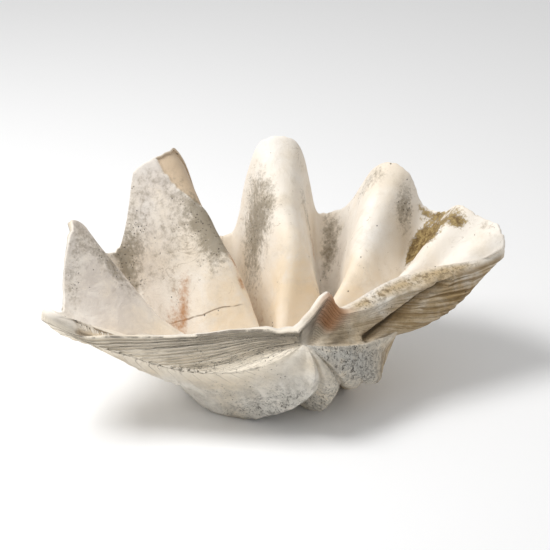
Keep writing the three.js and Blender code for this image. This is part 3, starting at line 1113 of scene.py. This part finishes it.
def simple_material(name, colour, roughness):
    material = bpy.data.materials.new(name)
    material.use_nodes = True
    shader = material.node_tree.nodes["Principled BSDF"]
    shader.inputs["Base Color"].default_value = (*colour, 1)
    shader.inputs["Roughness"].default_value = roughness
    return material


def add_camera(beak):
    turn, tilt = math.radians(CAMERA_TURN), math.radians(CAMERA_TILT)
    ahead = math.cos(tilt)
    forward = Vector((math.sin(turn) * ahead, math.cos(turn) * ahead, -math.sin(tilt)))
    right = Vector((math.cos(turn), -math.sin(turn), 0))
    up = right.cross(forward)
    data = bpy.data.cameras.new("camera")
    data.sensor_width = SENSOR_WIDTH
    data.lens = LENS
    camera = bpy.data.objects.new("camera", data)
    place = Vector(beak) / 1000 + Vector(CAMERA_FROM_BEAK)
    turned = Matrix((right, up, -forward)).transposed().to_4x4()
    camera.matrix_world = Matrix.Translation(place) @ turned
    bpy.context.scene.collection.objects.link(camera)
    bpy.context.scene.camera = camera


def add_light(name, place, target, size, energy):
    data = bpy.data.lights.new(name, "AREA")
    data.size = size
    data.energy = energy
    light = bpy.data.objects.new(name, data)
    light.location = place
    towards = Vector(target) - Vector(place)
    light.rotation_euler = towards.to_track_quat("-Z", "Y").to_euler()
    bpy.context.scene.collection.objects.link(light)


def add_floor():
    side = FLOOR_HALF_SIDE
    corners = [(-side, -side, 0), (side, -side, 0), (side, side, 0), (-side, side, 0)]
    mesh = bpy.data.meshes.new("floor")
    mesh.from_pydata(corners, [], [(0, 1, 2, 3)])
    mesh.materials.append(simple_material("floor", FLOOR_COLOUR, 0.7))
    floor = bpy.data.objects.new("floor", mesh)
    bpy.context.scene.collection.objects.link(floor)


def add_studio():
    add_floor()
    world = bpy.data.worlds.new("studio")
    world.use_nodes = True
    background = world.node_tree.nodes["Background"]
    background.inputs["Color"].default_value = (1, 1, 1, 1)
    background.inputs["Strength"].default_value = WORLD_STRENGTH
    bpy.context.scene.world = world
    bpy.context.scene.view_settings.view_transform = "Standard"
    add_light("key", KEY_PLACE, KEY_TARGET, KEY_SIZE, KEY_ENERGY)


def line_fields(shell, rows, front, groove_gap):
    """What draws the groove, the scar and the edge of the broken layer."""
    inner = ease(0.5, 1, shell.inside)
    broken, broken_edge = broken_layer(shell.station, shell.growth, inner)
    in_hollow = (shell.inside > 0.9) * (rows[..., 1] > SCAR_NEAREST_Y)
    return {
        "broken": broken,
        "edge_line": broken_edge,
        "groove_gap": groove_gap,
        "groove": line_share(rows, LIGAMENT_GROOVE, GROOVE_FADE) * front,
        "scar_gap": line_gap(rows, SCAR_LINE, SCAR_WANDER),
        "scar": line_share(rows, SCAR_LINE, SCAR_FADE) * in_hollow,
    }


def surface_fields(shell):
    """What the material reads at each point, by attribute name."""
    station, growth, inside = shell.station, shell.growth, shell.inside
    fields = {"station": station, "inside": inside, "place": ring_vector(station, growth)}
    for name, table in INNER_PATCHES.items():
        fields[name] = patches(table, station, growth, inside)
    for name, table in OUTER_PATCHES.items():
        fields[name] = patches(table, station, growth, 1 - inside)
    along_plate = ease(6.08, 6.25, station) * (1 - ease(6.72, 6.8, station))
    fields["plate"] = along_plate * bump(inside, 0.5, 0.4)
    fields["ledge"] = (1 - ease(0.05, 0.5, station)) * (1 - ease(0.0, 0.6, inside))
    # The place across each growth step, which sets where its painted shadow lies.
    fields["step"] = shell.phase * (1 - inside)
    # Where the face of the flap by the hinge gets its painted shade.
    fields["painted_pocket_shade"] = bump(station, 6.84, 0.07) * ease(0.55, 0.75, growth) * (inside < 0.5)
    return fields


def add_shell(cad_low, cad_high):
    shell = make_shell()
    shift = shift_to_frame(shell.rows, cad_low, cad_high)
    rows, normals = wear(shell)
    rows = rows + shift
    front = (shell.station > 6) * (1 - shell.inside)
    groove_gap = line_gap(rows, LIGAMENT_GROOVE, GROOVE_WANDER)
    rows = carve_groove(rows, normals, front)
    rows[..., 2] = np.maximum(rows[..., 2], cad_low[2] * 1000)
    fields = surface_fields(shell) | line_fields(shell, rows, front, groove_gap)
    mesh = build_mesh(rows, fields, shift, rows[-1].mean(0), "clam_shell")
    mesh.materials.append(shell_material())
    piece = bpy.data.objects.new("clam_shell", mesh)
    bpy.context.scene.collection.objects.link(piece)
    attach(piece, "root")
    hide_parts("clam_valve")
    return shift


def main():
    cad_low, cad_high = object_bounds()
    beak = add_shell(cad_low, cad_high)
    add_camera(beak)
    add_studio()


main()
